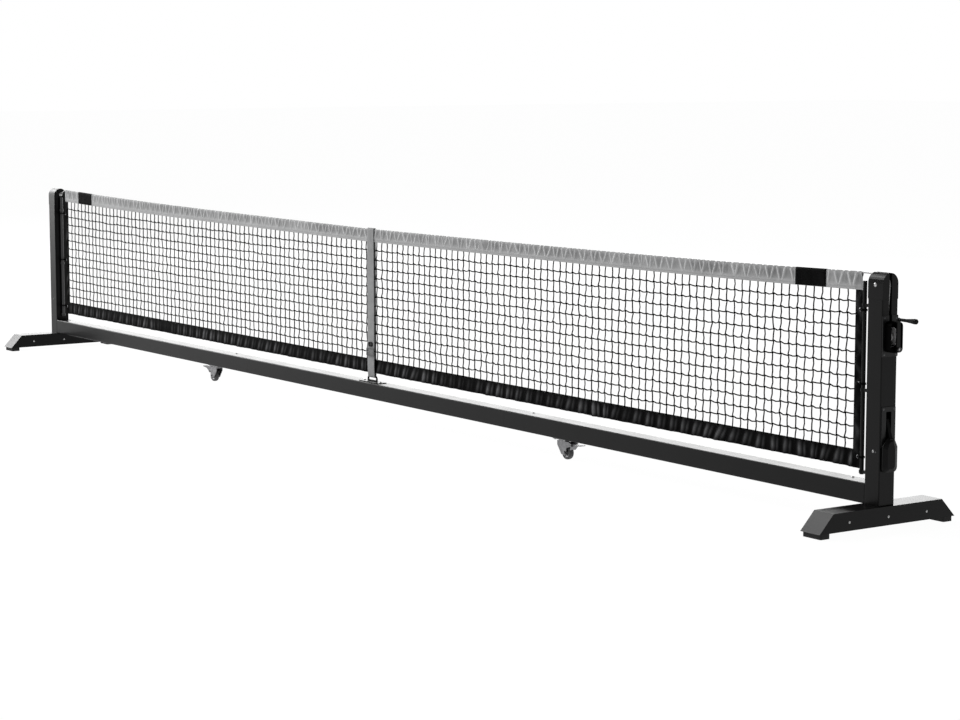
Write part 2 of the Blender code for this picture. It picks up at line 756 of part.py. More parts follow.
def make_caster(side, name, parts, tools):
    """One swivel caster under the bar. Drawn trailing to +X, then turned for its side."""
    swivel = Vector((side * CASTER_X, 0, 0))
    turn = Matrix.Rotation(0.0 if side > 0 else math.pi, 3, "Z")

    def finish(obj, look, centre=(0.0, 0.0, 0.0)):
        obj.name = name + "_caster_" + obj.name
        obj.data.transform(Matrix.Translation(obj.location - Vector(centre)))
        obj.data.transform(turn.to_4x4())
        obj.location = swivel + turn @ Vector(centre)
        return part(obj, look)

    top = BAR_BOTTOM - GAP
    plate = extruded("plate", [rounded(0.086, 0.062, 0.006)], 0.003, "Z", (0, 0, top - 0.0015), parts)
    profile = (
        (0.0, top - 0.002),
        (0.0220, top - 0.002),
        (0.0220, FORK_TOP + GAP),
        (0.0050, FORK_TOP + GAP),
        (0.0050, FORK_CROWN - GAP),
        (0.0080, FORK_CROWN - GAP),
        (0.0070, FORK_CROWN - 0.0028),
        (0.0, FORK_CROWN - 0.0030),
    )
    finish(join(plate, turned("kingpin", profile, "Z", (0, 0, 0), tools)), "steel")

    sides = [(-0.023, FORK_TOP), (-0.023, 0.060), (0.006, 0.0215)]
    sides += ring(0.0105, 8, (WHEEL_OUT, 0.0290), math.radians(215), math.radians(145))
    sides += [(0.0400, 0.052), (0.0640, 0.0590), (0.0735, 0.0600), (0.0735, 0.0720), (0.0560, FORK_TOP)]
    fork = extruded("fork", [sides], 2 * FORK_HALF, "Y", (0, 0, 0), parts)
    cut(fork, block("room", (-0.05, -FORK_GAP, 0.0), (0.10, FORK_GAP, FORK_CROWN), tools))
    cut(fork, cylinder("bore", 0.0050 + GAP, 0.05, "Z", (0, 0, FORK_TOP), tools))
    cut(fork, cylinder("bore", AXLE_R + GAP, 0.1, "Y", (WHEEL_OUT, 0, WHEEL_Z), tools))
    cut(fork, cylinder("bore", 0.0025 + GAP, 0.1, "Y", (PEDAL_PIN[0], 0, PEDAL_PIN[1]), tools, 16))
    finish(fork, "steel")

    hub = (WHEEL_OUT, 0, WHEEL_Z)
    bore = AXLE_R + GAP
    profile = (
        (0.0260, 0.0110),
        (WHEEL_R - 0.0008, 0.0088),
        (WHEEL_R, 0.0050),
        (WHEEL_R, -0.0050),
        (WHEEL_R - 0.0008, -0.0088),
        (0.0260, -0.0110),
        (0.0210, -0.0080),
        (0.0110, -0.0080),
        (0.0095, -0.0130),
        (bore, -0.0130),
        (bore, 0.0130),
        (0.0095, 0.0130),
        (0.0110, 0.0080),
        (0.0210, 0.0080),
    )
    finish(turned("wheel", profile, "Y", hub, parts, 32), "rubber", hub)

    outer = FORK_HALF + GAP
    profile = (
        (0.0, outer + 0.0045),
        (0.0070, outer + 0.0040),
        (0.0072, outer),
        (AXLE_R, outer),
        (AXLE_R, -outer - 0.0035),
        (0.0, -outer - 0.0035),
    )
    finish(turned("axle", profile, "Y", hub, parts), "steel", hub)

    pin_x, pin_z = PEDAL_PIN
    outline = [(0.0600, 0.0640), (0.0640, 0.0700), (0.0820, 0.0705), (0.1300, 0.0720)]
    outline += [(0.1305, 0.0690), (0.0900, 0.0640), (0.0780, 0.0600), (0.0660, 0.0470)]
    outline += [(0.0600, 0.0435), (0.0578, 0.0450), (0.0620, 0.0560)]
    pedal = extruded("pedal", [outline], 0.0270, "Y", (0, 0, 0), parts)
    pin = cylinder("pin", 0.0025, 2 * FORK_HALF + 0.001, "Y", (pin_x, 0, pin_z), tools, 16)
    finish(join(pedal, pin), "steel", (pin_x, 0, pin_z))


def main():
    clear_scene()
    parts = collection(COLLECTION)
    tools = collection("cutters")
    make_posts(parts, tools)
    make_cap(-1, "left", parts, tools)
    make_cap(1, "right", parts, tools)
    make_pulley(parts)
    make_bar(parts)
    make_legs(parts, tools)
    make_rods(parts)
    make_cable(parts)
    make_anchor(parts)
    make_net(parts)
    make_strap(parts)
    make_winch(parts, tools)
    make_lever(parts, tools)
    make_caster(-1, "left", parts, tools)
    make_caster(1, "right", parts, tools)
    for obj in parts.objects:
        obj.location.x += SHIFT_X


main()
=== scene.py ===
"""The looks of the portable pickleball net: cloth, cords, screws, finishes and light."""

import math

import bpy
import numpy as np
from mathutils import Matrix, Vector, noise


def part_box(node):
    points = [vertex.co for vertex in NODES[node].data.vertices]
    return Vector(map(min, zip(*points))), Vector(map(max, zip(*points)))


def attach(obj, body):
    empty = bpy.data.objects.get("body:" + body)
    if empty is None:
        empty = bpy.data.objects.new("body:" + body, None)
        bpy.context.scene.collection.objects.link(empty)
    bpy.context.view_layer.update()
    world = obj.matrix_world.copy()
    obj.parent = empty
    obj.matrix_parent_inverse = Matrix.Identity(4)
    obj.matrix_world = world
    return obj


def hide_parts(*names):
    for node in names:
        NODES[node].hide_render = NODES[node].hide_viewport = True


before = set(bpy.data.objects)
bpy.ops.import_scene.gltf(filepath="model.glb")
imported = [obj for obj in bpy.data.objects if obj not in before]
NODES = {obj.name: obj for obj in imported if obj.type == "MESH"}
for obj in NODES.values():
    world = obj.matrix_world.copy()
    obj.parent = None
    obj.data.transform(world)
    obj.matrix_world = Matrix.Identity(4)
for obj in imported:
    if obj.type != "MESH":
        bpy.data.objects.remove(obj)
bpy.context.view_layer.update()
HEADBAND_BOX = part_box("net_headband")
NET_X = (HEADBAND_BOX[0].x + HEADBAND_BOX[1].x) / 2   # every X below is measured from the net's middle


def box(name):
    """A node's box at rest, with X from the net's middle."""
    shift = Vector((NET_X, 0.0, 0.0))
    low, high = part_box(name)
    return Vector(low) - shift, Vector(high) - shift


# ---------------------------------------------------------------- camera and light

CAMERA_PLACE = (9.7461, -6.1427, 1.6784)
CAMERA_TILT = (82.9972, 0.0, 55.2702)
LENS_MM = 93.05
SURROUND = 0.25
FLOOR_SHADE = 0.05
FLOOR_GLOW = 0.975


def make_camera():
    data = bpy.data.cameras.new("camera")
    data.lens = LENS_MM
    data.sensor_width = 36.0
    data.clip_end = 200.0
    camera = bpy.data.objects.new("camera", data)
    camera.location = Vector(CAMERA_PLACE) + Vector((NET_X, 0.0, 0.0))
    camera.rotation_euler = [math.radians(a) for a in CAMERA_TILT]
    bpy.context.scene.collection.objects.link(camera)
    bpy.context.scene.camera = camera


def softbox(name, place, aim, size, radiance):
    """An area light of an even brightness, which the camera doesn't see."""
    data = bpy.data.lights.new(name, "AREA")
    data.shape = "RECTANGLE"
    data.size, data.size_y = size
    data.energy = radiance * math.pi * size[0] * size[1]
    light = bpy.data.objects.new(name, data)
    light.location = place
    light.rotation_euler = (Vector(aim) - Vector(place)).to_track_quat("-Z", "Y").to_euler()
    light.visible_camera = False
    bpy.context.scene.collection.objects.link(light)


def make_world():
    """A white surround that lights the object more softly than it shows behind it."""
    world = bpy.data.worlds.new("studio")
    world.use_nodes = True
    tree = world.node_tree
    shown = tree.nodes["Background"]
    shown.inputs["Color"].default_value = (1.0, 1.0, 1.0, 1.0)
    shown.inputs["Strength"].default_value = 1.0
    lighting = tree.nodes.new("ShaderNodeBackground")
    lighting.inputs["Color"].default_value = (1.0, 1.0, 1.0, 1.0)
    lighting.inputs["Strength"].default_value = SURROUND
    path = tree.nodes.new("ShaderNodeLightPath")
    mix = tree.nodes.new("ShaderNodeMixShader")
    tree.links.new(path.outputs["Is Camera Ray"], mix.inputs["Fac"])
    tree.links.new(lighting.outputs[0], mix.inputs[1])
    tree.links.new(shown.outputs[0], mix.inputs[2])
    tree.links.new(mix.outputs[0], tree.nodes["World Output"].inputs["Surface"])
    bpy.context.scene.world = world
    bpy.context.scene.view_settings.view_transform = "Standard"


def make_floor():
    """A pale floor that glows evenly, as one lit from below, with a trace of shading."""
    half = 60.0
    mesh = bpy.data.meshes.new("studio_floor")
    mesh.from_pydata([(-half, -half, 0), (half, -half, 0), (half, half, 0), (-half, half, 0)], [], [(0, 1, 2, 3)])
    floor = bpy.data.objects.new("studio_floor", mesh)
    floor.location.z = -0.0005
    bpy.context.scene.collection.objects.link(floor)
    paint = bpy.data.materials.new("studio_floor")
    paint.use_nodes = True
    shader = paint.node_tree.nodes["Principled BSDF"]
    shader.inputs["Base Color"].default_value = (*[FLOOR_SHADE] * 3, 1.0)
    shader.inputs["Roughness"].default_value = 1.0
    shader.inputs["Specular IOR Level"].default_value = 0.0
    shader.inputs["Emission Color"].default_value = (1.0, 1.0, 1.0, 1.0)
    shader.inputs["Emission Strength"].default_value = FLOOR_GLOW
    mesh.materials.append(paint)


# ---------------------------------------------------------------- shapes

class Shape:
    """Points and faces gathered into one mesh."""

    def __init__(self):
        self.points = []
        self.faces = []
        self.uvs = []

    def grid(self, points, closed_u=False, closed_v=False, flip=False):
        """Faces over a rows x columns array of points."""
        points = np.asarray(points, float)
        rows, columns = points.shape[:2]
        base = len(self.points)
        self.points.extend(map(tuple, points.reshape(-1, 3)))
        for i in range(rows if closed_u else rows - 1):
            for j in range(columns if closed_v else columns - 1):
                a = base + i * columns + j
                b = base + i * columns + (j + 1) % columns
                c = base + (i + 1) % rows * columns + (j + 1) % columns
                d = base + (i + 1) % rows * columns + j
                self.faces.append((a, d, c, b) if flip else (a, b, c, d))
        return base

    def tube(self, path, radius, sides=8, closed=False, flat=1.0):
        """A tube along a path. radius is one number or one for each point."""
        path = np.asarray(path, float)
        count = len(path)
        radii = np.broadcast_to(np.asarray(radius, float), (count,))
        if closed:
            along = np.roll(path, -1, 0) - np.roll(path, 1, 0)
        else:
            along = np.gradient(path, axis=0)
        along /= np.linalg.norm(along, axis=1)[:, None]
        side = np.cross(along[0], (0.0, 0.0, 1.0))
        if np.linalg.norm(side) < 0.1:
            side = np.cross(along[0], (0.0, 1.0, 0.0))
        rings = []
        for point, direction, size in zip(path, along, radii):
            side = side - direction * (side @ direction)
            side /= np.linalg.norm(side)
            up = np.cross(direction, side)
            turn = np.arange(sides) * math.tau / sides
            spread = np.outer(np.cos(turn), side) + np.outer(np.sin(turn), up) * flat
            rings.append(point + spread * size)
        base = self.grid(rings, closed_u=closed, closed_v=True)
        if not closed:
            last = base + (count - 1) * sides
            self.faces.append(tuple(base + k for k in range(sides)))
            self.faces.append(tuple(last + k for k in reversed(range(sides))))

    def rope(self, path, radius, pitch, strands=6):
        """A twisted rope, whose outline has one lobe for each strand."""
        path = np.asarray(path, float)
        along = np.gradient(path, axis=0)
        along /= np.linalg.norm(along, axis=1)[:, None]
        side = np.cross(along[0], (0.0, 1.0, 0.0))
        turn = np.arange(strands * 3) * math.tau / (strands * 3)
        outline = radius * (0.80 + 0.20 * np.abs(np.cos(strands / 2 * turn)))
        gone = 0.0
        rings = []
        for k, (point, direction) in enumerate(zip(path, along)):
            gone += np.linalg.norm(point - path[max(0, k - 1)])
            side = side - direction * (side @ direction)
            side /= np.linalg.norm(side)
            up = np.cross(direction, side)
            angles = turn + math.tau * gone / pitch
            rings.append(point + (np.outer(np.cos(angles), side) + np.outer(np.sin(angles), up)) * outline[:, None])
        base = self.grid(rings, closed_v=True)
        count = len(turn)
        last = base + (len(path) - 1) * count
        self.faces.append(tuple(base + k for k in range(count)))
        self.faces.append(tuple(last + k for k in reversed(range(count))))

    def turned(self, profile, place, axis, sides=24):
        """A profile of (radius, height, corners) turned about an axis from place.

        A ring with 6 corners is a hexagon, one with 0 is round.
        """
        z = Vector(axis).normalized()
        x = z.orthogonal().normalized()
        y = z.cross(x)
        rings = []
        for radius, height, corners in profile:
            row = []
            for k in range(sides):
                angle = math.tau * k / sides
                size = radius
                if corners:
                    part = math.tau / corners
                    size = radius * math.cos(part / 2) / math.cos(angle % part - part / 2)
                row.append(Vector(place) + (x * math.cos(angle) + y * math.sin(angle)) * size + z * height)
            rings.append(row)
        base = self.grid(rings, closed_v=True)
        self.faces.append(tuple(base + k for k in reversed(range(sides))))
        last = base + (len(profile) - 1) * sides
        self.faces.append(tuple(last + k for k in range(sides)))

    def box(self, low, high, turn=None, centre=(0, 0, 0)):
        base = len(self.points)
        for x in (low[0], high[0]):
            for y in (low[1], high[1]):
                for z in (low[2], high[2]):
                    point = Vector((x, y, z))
                    if turn is not None:
                        point = Vector(centre) + turn @ (point - Vector(centre))
                    self.points.append(tuple(point))
        quads = ((0, 1, 3, 2), (4, 6, 7, 5), (0, 4, 5, 1), (2, 3, 7, 6), (0, 2, 6, 4), (1, 5, 7, 3))
        self.faces.extend(tuple(base + k for k in quad) for quad in quads)

    def object(self, name, body, paint, smooth=40):
        mesh = bpy.data.meshes.new(name)
        mesh.from_pydata([(x + NET_X, y, z) for x, y, z in self.points], [], self.faces)
        mesh.validate()
        mesh.shade_smooth()
        mesh.set_sharp_from_angle(angle=math.radians(smooth))
        obj = bpy.data.objects.new(name, mesh)
        bpy.context.scene.collection.objects.link(obj)
        mesh.materials.append(paint)
        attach(obj, body)
        return obj


def with_uv(obj, us, vs):
    """Store one (u, v) for each vertex."""
    layer = obj.data.uv_layers.new(name="cloth")
    index = np.zeros(len(obj.data.loops), np.int32)
    obj.data.loops.foreach_get("vertex_index", index)
    flat = np.stack([np.asarray(us, float)[index], np.asarray(vs, float)[index]], axis=1)
    layer.data.foreach_set("uv", flat.ravel().astype(np.float32))


def with_folds(obj, values):
    """Store how far each point stands out, for the cloth's colour: painted highlight where the value is high, painted
    shade where it is low.
    """
    layer = obj.data.attributes.new("fold", "FLOAT", "POINT")
    layer.data.foreach_set("value", np.asarray(values, np.float32))


def solidify(obj, thickness):
    skin = obj.modifiers.new("Cloth", "SOLIDIFY")
    skin.thickness = thickness
    skin.offset = 0.0


def resample(path, step):
    """The same path in even steps."""
    path = np.asarray(path, float)
    gaps = np.linalg.norm(np.diff(path, axis=0), axis=1)
    along = np.concatenate([[0.0], np.cumsum(gaps)])
    even = np.linspace(0.0, along[-1], max(2, round(along[-1] / step)))
    return np.stack([np.interp(even, along, path[:, k]) for k in range(3)], axis=1)


def wander(x, seed, scale):
    """Smooth noise from -1 to 1 along a line."""
    return noise.noise(Vector((x * scale, seed * 7.31, seed * 1.7)))


# ---------------------------------------------------------------- materials

def node(tree, kind, place=(0, 0), **values):
    made = tree.nodes.new(kind)
    made.location = place
    for name, value in values.items():
        setattr(made, name, value)
    return made


def finish(name, colour, rough, metallic=0.0, specular=0.5, grain=(600, 0.1, 0.0002), stretch=(1, 1, 1),
           mottle=(12, 0.12), rough_spread=0.08, weave=None, sheen=0.0, stitches=False, folds=None):
    """A procedural finish: mottled colour, uneven gloss, and grain or weave in the bump, with painted shade in the
    weave's gaps and, where folds are given, painted highlight and shade from the fold attribute.
    """
    made = bpy.data.materials.new(name)
    made.use_nodes = True
    tree = made.node_tree
    shader = tree.nodes["Principled BSDF"]
    shader.inputs["Metallic"].default_value = metallic
    shader.inputs["Specular IOR Level"].default_value = specular
    shader.inputs["Sheen Weight"].default_value = sheen
    link = tree.links.new
    place = node(tree, "ShaderNodeTexCoord")
    mapping = node(tree, "ShaderNodeMapping")
    mapping.inputs["Scale"].default_value = stretch
    link(place.outputs["Object"], mapping.inputs["Vector"])

    patches = node(tree, "ShaderNodeTexNoise")
    patches.inputs["Scale"].default_value = mottle[0]
    patches.inputs["Detail"].default_value = 5.0
    link(mapping.outputs["Vector"], patches.inputs["Vector"])
    ramp = node(tree, "ShaderNodeValToRGB")
    ramp.color_ramp.elements[0].position = 0.30
    ramp.color_ramp.elements[1].position = 0.70
    low = [c * (1 - mottle[1]) for c in colour]
    high = [min(1.0, c * (1 + mottle[1])) for c in colour]
    ramp.color_ramp.elements[0].color = (*low, 1.0)
    ramp.color_ramp.elements[1].color = (*high, 1.0)
    link(patches.outputs["Fac"], ramp.inputs["Fac"])
    colour_out = ramp.outputs["Color"]

    gloss = node(tree, "ShaderNodeMapRange")
    gloss.inputs["To Min"].default_value = max(0.02, rough - rough_spread)
    gloss.inputs["To Max"].default_value = min(1.0, rough + rough_spread)
    link(patches.outputs["Fac"], gloss.inputs["Value"])
    link(gloss.outputs["Result"], shader.inputs["Roughness"])

    pits = node(tree, "ShaderNodeTexNoise")
    pits.inputs["Scale"].default_value = grain[0]
    pits.inputs["Detail"].default_value = 3.0
    link(mapping.outputs["Vector"], pits.inputs["Vector"])
    bump = node(tree, "ShaderNodeBump")
    bump.inputs["Strength"].default_value = grain[1]
    bump.inputs["Distance"].default_value = grain[2]
    height = pits.outputs["Fac"]
    if weave:
        height, colour_out = woven(tree, weave, height, colour_out)
    if stitches:
        height, colour_out = stitched(tree, height, colour_out)
    if folds:
        colour_out = folded(tree, colour_out, folds)
    link(height, bump.inputs["Height"])
    link(bump.outputs["Normal"], shader.inputs["Normal"])
    link(colour_out, shader.inputs["Base Color"])
    return made


def maths(tree, operation, *inputs):
    made = node(tree, "ShaderNodeMath", operation=operation)
    for socket, value in zip(made.inputs, inputs):
        if isinstance(value, (int, float)):
            socket.default_value = value
        else:
            tree.links.new(value, socket)
    return made.outputs[0]


def darken(tree, colour, mask, share):
    """Mix the colour towards a darker one where the mask is 1."""
    mix = node(tree, "ShaderNodeMix", data_type="RGBA", blend_type="MULTIPLY")
    shade = 1.0 - share
    for socket in mix.inputs:
        if socket.name == "B" and socket.type == "RGBA":
            socket.default_value = (shade, shade, shade, 1.0)
        if socket.name == "A" and socket.type == "RGBA":
            tree.links.new(colour, socket)
    tree.links.new(mask, mix.inputs["Factor"])
    return [o for o in mix.outputs if o.type == "RGBA"][0]


def woven(tree, weave, height, colour):
    """Threads over and under each other, with painted shade in the gaps between them: (pitch along X or Y, pitch along
    Z, darkness of that painted shade).
    """
    pitch_x, pitch_z, dark = weave
    place = node(tree, "ShaderNodeTexCoord")
    parts = node(tree, "ShaderNodeSeparateXYZ")
    tree.links.new(place.outputs["Object"], parts.inputs[0])
    across = maths(tree, "SINE", maths(tree, "MULTIPLY", parts.outputs["X"], math.tau / pitch_x))
    along = maths(tree, "SINE", maths(tree, "MULTIPLY", parts.outputs["Z"], math.tau / pitch_z))
    threads = maths(tree, "MULTIPLY", across, along)
    lifted = maths(tree, "MULTIPLY_ADD", threads, 0.5, 0.5)
    total = maths(tree, "ADD", maths(tree, "MULTIPLY", height, 0.4), lifted)
    # painted shade in the gaps between threads
    gaps = maths(tree, "SUBTRACT", 1.0, lifted)
    return total, darken(tree, colour, maths(tree, "MULTIPLY", gaps, dark), 0.6)


def stitched(tree, height, colour):
    """Two rows of stitches. The UV map holds metres along the cloth and up from its hem."""
    place = node(tree, "ShaderNodeUVMap", uv_map="cloth")
    parts = node(tree, "ShaderNodeSeparateXYZ")
    tree.links.new(place.outputs["UV"], parts.inputs[0])
    along = maths(tree, "FRACT", maths(tree, "MULTIPLY", parts.outputs["X"], 1 / 0.0055))
    dash = maths(tree, "LESS_THAN", along, 0.72)
    rows = None
    for up in (0.0075, 0.0105):
        off = maths(tree, "ABSOLUTE", maths(tree, "SUBTRACT", parts.outputs["Y"], up))
        row = maths(tree, "LESS_THAN", off, 0.00055)
        rows = row if rows is None else maths(tree, "MAXIMUM", rows, row)
    mask = maths(tree, "MULTIPLY", rows, dash)
    total = maths(tree, "ADD", height, maths(tree, "MULTIPLY", mask, 2.0))
    return total, darken(tree, colour, maths(tree, "MULTIPLY", rows, 0.7), 0.45)


def folded(tree, colour, spread):
    """Painted highlight along the ridges of the folds and painted shade in their hollows: the colour is scaled by the
    fold attribute.
    """
    fold = node(tree, "ShaderNodeAttribute", attribute_name="fold")
    shade = node(tree, "ShaderNodeMapRange")
    shade.inputs["From Min"].default_value = -1.0
    shade.inputs["To Min"].default_value = spread[0]
    shade.inputs["To Max"].default_value = spread[1]
    tree.links.new(fold.outputs["Fac"], shade.inputs["Value"])
    scaled = node(tree, "ShaderNodeVectorMath", operation="SCALE")
    tree.links.new(colour, scaled.inputs[0])
    tree.links.new(shade.outputs["Result"], scaled.inputs["Scale"])
    return scaled.outputs["Vector"]


def dress(paint, *names):
    """Give carried-over CAD nodes a finish."""
    for name in names:
        obj = NODES[name]
        obj.data.materials.clear()
        obj.data.materials.append(paint)
        obj.data.shade_smooth()
        obj.data.set_sharp_from_angle(angle=math.radians(32))


def soften(width, *names):
    """Round the hard edges of carried-over CAD nodes a little."""
    for name in names:
        edge = NODES[name].modifiers.new("Edge", "BEVEL")
        edge.width = width
        edge.segments = 3
        edge.limit_method = "ANGLE"
        edge.angle_limit = math.radians(50)


def make_finishes():
    return {
        "powder": finish("powder_coat", (0.0028, 0.0028, 0.0029), 0.30, specular=0.13,
                         grain=(1400, 0.12, 0.0002), mottle=(6, 0.15), rough_spread=0.05),
        "steel": finish("zinc_steel", (0.42, 0.42, 0.42), 0.30, 1.0, grain=(900, 0.15, 0.0002),
                        mottle=(90, 0.10), rough_spread=0.10),
        "worn_steel": finish("pressed_steel", (0.20, 0.20, 0.205), 0.36, 1.0, grain=(500, 0.2, 0.0002),
                             mottle=(60, 0.25), rough_spread=0.12),
        "gear": finish("gear_steel", (0.66, 0.66, 0.66), 0.45, 0.15, grain=(900, 0.2, 0.0002),
                       mottle=(60, 0.2)),
        "rubber": finish("foot_rubber", (0.012, 0.012, 0.012), 0.80, specular=0.3, grain=(1800, 0.4, 0.0004),
                         mottle=(40, 0.3)),
        "tread": finish("wheel_tread", (0.045, 0.045, 0.047), 0.62, specular=0.4, grain=(1200, 0.3, 0.0003),
                        mottle=(50, 0.3)),
        "plastic": finish("moulded_plastic", (0.0020, 0.0020, 0.0021), 0.34, specular=0.10,
                          grain=(2200, 0.25, 0.0002), mottle=(30, 0.2)),
        # The tape's and the band's folds values set painted highlight on the fold ridges and painted shade in the
        # hollows; their weave darkness is painted shade between threads.
        "tape": finish("headband_cloth", (0.46, 0.462, 0.465), 0.85, specular=0.2, grain=(700, 0.35, 0.0004),
                       mottle=(9, 0.07), weave=(0.0014, 0.0014, 0.35), stitches=True, folds=(0.56, 1.30)),
        "band": finish("band_cloth", (0.0034, 0.0034, 0.0035), 0.50, specular=0.015, grain=(900, 0.3, 0.0004),
                       mottle=(25, 0.25), weave=(0.0012, 0.0012, 0.5), stitches=True, folds=(0.2, 34.0)),
        "cord": finish("net_cord", (0.0010, 0.0010, 0.0011), 0.80, specular=0.02, grain=(1500, 0.6, 0.0005),
                       stretch=(1, 1, 0.35), mottle=(120, 0.35)),
        "housing": finish("housing_coat", (0.0006, 0.0006, 0.0006), 0.42, specular=0.012,
                          grain=(2000, 0.2, 0.0002), mottle=(30, 0.2)),
        "dark_steel": finish("dark_steel", (0.10, 0.10, 0.102), 0.34, 0.9, grain=(900, 0.15, 0.0002),
                             mottle=(60, 0.15)),
        # A lighter, glossier copy of the black powder coat for the left rod and its clips: painted light, since that
        # rod shows lighter.
        "painted_lit_rod_coat": finish("painted_lit_rod_coat", (0.030, 0.030, 0.031), 0.30, specular=0.4, grain=(1400, 0.12, 0.0002),
                           mottle=(20, 0.15)),
        "plate": finish("plate_coat", (0.006, 0.006, 0.0062), 0.36, specular=0.22, grain=(1400, 0.15, 0.0002),
                        mottle=(20, 0.15)),
        "sheave": finish("pulley_steel", (0.022, 0.022, 0.023), 0.34, 0.8, grain=(900, 0.15, 0.0002),
                         mottle=(90, 0.15)),
        # The webbing's weave darkness is painted shade between the threads.
        "webbing": finish("strap_webbing", (0.32, 0.322, 0.325), 0.85, specular=0.2, grain=(900, 0.3, 0.0004),
                          mottle=(30, 0.12), weave=(0.0032, 0.0022, 0.8), sheen=0.1),
        "wire": finish("wire_rope", (0.30, 0.30, 0.30), 0.40, 0.6, grain=(260, 1.0, 0.0009),
                       stretch=(2.4, 1, 1), mottle=(300, 0.35)),
    }


# ---------------------------------------------------------------- headband and bands

TAPE = box("net_headband")
TAPE_HALF = TAPE[1].x
BAND = box("net_bottom_band")
BAND_HALF = BAND[1].x
BAND_PITCH = 0.074
WRAPS = {"left": (2.930, 3.096), "right": (2.930, 3.095)}
MESH_ROWS = 13
MESH_COLUMNS = 146


def tape_top(x):
    return 0.8778 + 0.0055 * abs(x) + 0.00016 * x**4


def tape_bottom(x):
    return tape_top(x) - 0.060 - 0.0065 * (x / TAPE_HALF) ** 2


def fold_line(x, seed):
    """Where x lies among the gathers: the fold's number and the place within it, from 0 to 1."""
    turn = (x + 0.024 * wander(x, seed, 5) + 0.010 * wander(x, seed + 3, 17)) / 0.064
    number = math.floor(turn)
    return number, turn - number


def gathers(x, down, seed):
    """How far the gathered cloth stands out: ridges that meet in uneven Vs, and hollows between."""
    number, part = fold_line(x, seed)
    strength = 0.85 + 0.55 * wander(number, seed + 5, 0.37)
    lean = 0.5 + 0.22 * wander(number, seed + 8, 0.71) * (1 - down)
    zig = 2 * abs(part - lean)
    length = 0.84 + 0.30 * wander(number, seed + 6, 0.53)
    spread = 0.58 + 0.50 * wander(number, seed + 10, 0.47)
    reach = spread * (1 - min(1.0, down / length)) ** 0.8
    off = (zig - reach) * 0.032
    width = 0.0038 + 0.0026 * wander(number, seed + 7, 0.61)
    ridge = math.exp(-(off / width) ** 2)
    hollow = 1 - math.exp(-(off / 0.0055) ** 2)
    if zig > reach:
        hollow *= 0.95 * (1 - down ** 2)
    crossing = wander(x + 0.05 * down, seed + 11, 26)
    branch = 0.8 * math.exp(-(crossing / 0.10) ** 2) * (1 - down) * max(0.0, wander(x, seed + 13, 6) + 0.4)
    crease = 0.30 * wander(x, seed + 9, 70) * (1 - 0.6 * down)
    return strength * (ridge - 1.1 * hollow) + branch + crease


def dip(x):
    """How far a fold's peak draws the headband's upper edge down."""
    number, part = fold_line(x, 3)
    near = abs(abs(part - 0.5) - 0.29) * 0.064
    return 0.0034 * math.exp(-(near / 0.0050) ** 2) * (0.8 + 0.8 * wander(round(number + part), 17, 0.43))


def under_wrap(x):
    """0 where a wrap presses the folds flat, 1 elsewhere."""
    out = min(abs(abs(x) - (low + high) / 2) - (high - low) / 2 for low, high in WRAPS.values())
    return min(1.0, max(0.0, out / 0.012))


def make_headband(paint):
    """The folded tape: front, over the cable, and back, hemmed flat along its foot."""
    stations = 3000
    down_steps = 14
    hem = 0.013
    half_t = 0.0046
    reach = TAPE_HALF - 0.004
    rows, us, vs, folds = [], [], [], []
    for i in range(stations):
        x = reach * (2 * i / (stations - 1) - 1)
        top, bottom = tape_top(x) - dip(x) * under_wrap(x), tape_bottom(x)
        height = top - bottom
        pinch = max(0.0, 1 - (reach - abs(x)) / 0.030) ** 0.5
        legs, heights = [], []
        for side in (-1, 1):
            leg, stand = [], []
            for j in range(down_steps + 1):
                down = j / down_steps
                z = top - half_t - (height - half_t) * down
                above_hem = min(1.0, max(0.0, (z - bottom - hem) / 0.010))
                rise = gathers(x, down, 3) * above_hem * min(1.0, 0.5 + 2.5 * down) * under_wrap(x)
                y = side * (half_t + 0.0024 * rise) + 0.0007 * wander(x, 8 + side, 23) * down
                y *= 1 - 0.85 * pinch * min(1.0, 4 * down)
                leg.append((x, y, z))
                stand.append(rise)
            legs.append(leg)
            heights.append(stand)
        ripple = 1 + 0.10 * gathers(x, 0.0, 3) * under_wrap(x)
        angles = [math.pi * k / 6 for k in range(1, 6)]
        arc = [(x, -half_t * math.cos(a) * ripple, top - half_t * (1 - math.sin(a) * min(1.0, ripple))) for a in angles]
        front, back = legs
        rows.append(front[::-1] + arc + back)
        # The fold values scale the tape's colour: painted highlight on the ridges, painted shade in the hollows.
        folds.extend(heights[0][::-1] + [heights[0][0]] * 5 + heights[1])
        us.extend([x] * len(rows[-1]))
        vs.extend(p[2] - bottom for p in rows[-1])
    shape = Shape()
    shape.grid(rows, flip=True)
    tape = shape.object("headband", "frame", paint, 80)
    with_uv(tape, us, vs)
    with_folds(tape, folds)
    solidify(tape, 0.0009)
    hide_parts("net_headband")


